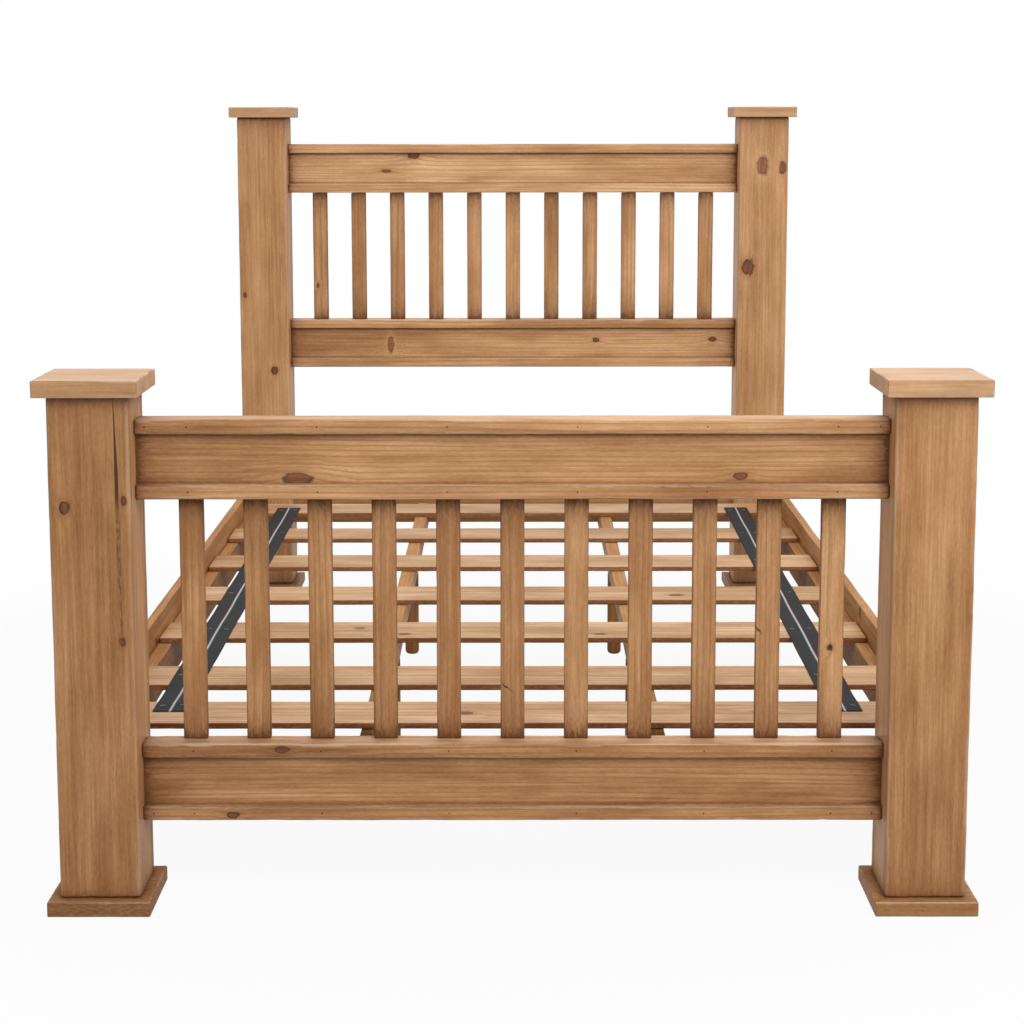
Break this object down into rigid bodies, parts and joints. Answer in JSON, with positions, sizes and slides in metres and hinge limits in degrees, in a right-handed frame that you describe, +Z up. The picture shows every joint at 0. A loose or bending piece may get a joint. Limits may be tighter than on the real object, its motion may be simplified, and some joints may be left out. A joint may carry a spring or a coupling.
{
  "type": "slatted bed frame",
  "caption": "Wooden bed frame with square box posts, spindled headboard and footboard, hooked side rails and a strap-linked slat base for a mattress.",
  "frame": {"origin": "on the floor, under the middle of the bed", "axes": "+X to the right seen from the foot end, +Y from the footboard to the headboard, +Z up"},
  "size_m": [1.642, 2.37, 1.44],
  "materials": {
    "post_pine": "honey-brown stained pine, waxed, worn edges",
    "panel_pine": "honey-brown stained pine, waxed, dark glaze in the corners",
    "rail_pine": "honey-brown stained pine, waxed",
    "slats": "plain planed pine, unstained",
    "webbing": "woven webbing, charcoal with a pale middle stripe",
    "staples": "bright steel wire",
    "hook_plates": "zinc plated",
    "screws": "zinc plated",
    "nails": "dark, set below the surface"
  },
  "bodies": {
    "frame": {"board_nails": "nails", "foot_left_cap": "post_pine", "foot_left_plinth": "post_pine", "foot_left_post_bed_side_board": "post_pine", "foot_left_post_outer_board": "post_pine", "foot_left_post_side_boards": "post_pine", "foot_right_cap": "post_pine", "foot_right_plinth": "post_pine", "foot_right_post_bed_side_board": "post_pine", "foot_right_post_outer_board": "post_pine", "foot_right_post_side_boards": "post_pine", "footboard_lower_bottom_flange": "panel_pine", "footboard_lower_top_flange": "panel_pine", "footboard_lower_web": "panel_pine", "footboard_spindles": "panel_pine", "footboard_upper_bottom_flange": "panel_pine", "footboard_upper_top_flange": "panel_pine", "footboard_upper_web": "panel_pine", "frame_screws": "screws", "head_left_cap": "post_pine", "head_left_plinth": "post_pine", "head_left_post_bed_side_board": "post_pine", "head_left_post_outer_board": "post_pine", "head_left_post_side_boards": "post_pine", "head_right_cap": "post_pine", "head_right_plinth": "post_pine", "head_right_post_bed_side_board": "post_pine", "head_right_post_outer_board": "post_pine", "head_right_post_side_boards": "post_pine", "head_stretcher": "rail_pine", "headboard_lower_bottom_flange": "panel_pine", "headboard_lower_top_flange": "panel_pine", "headboard_lower_web": "panel_pine", "headboard_spindles": "panel_pine", "headboard_upper_bottom_flange": "panel_pine", "headboard_upper_top_flange": "panel_pine", "headboard_upper_web": "panel_pine", "left_centre_beam": "rail_pine", "left_centre_leg_foot": "rail_pine", "left_centre_leg_head": "rail_pine", "left_ledger": "rail_pine", "left_side_rail": "rail_pine", "post_blocks": "post_pine", "post_slot_plates": "hook_plates", "rail_hook_plates": "hook_plates", "right_centre_beam": "rail_pine", "right_centre_leg_foot": "rail_pine", "right_centre_leg_head": "rail_pine", "right_ledger": "rail_pine", "right_side_rail": "rail_pine"},
    "slat_roll": {"slat_1": "slats", "slat_2": "slats", "slat_3": "slats", "slat_4": "slats", "slat_5": "slats", "slat_6": "slats", "slat_7": "slats", "left_strap": "webbing", "right_strap": "webbing", "strap_staples": "staples"}
  },
  "joints": [
    {"name": "slat_roll_lift", "type": "slide", "parent": "frame", "child": "slat_roll", "axis": [0, 0, 1], "range_m": [0, 0.25]}
  ]
}
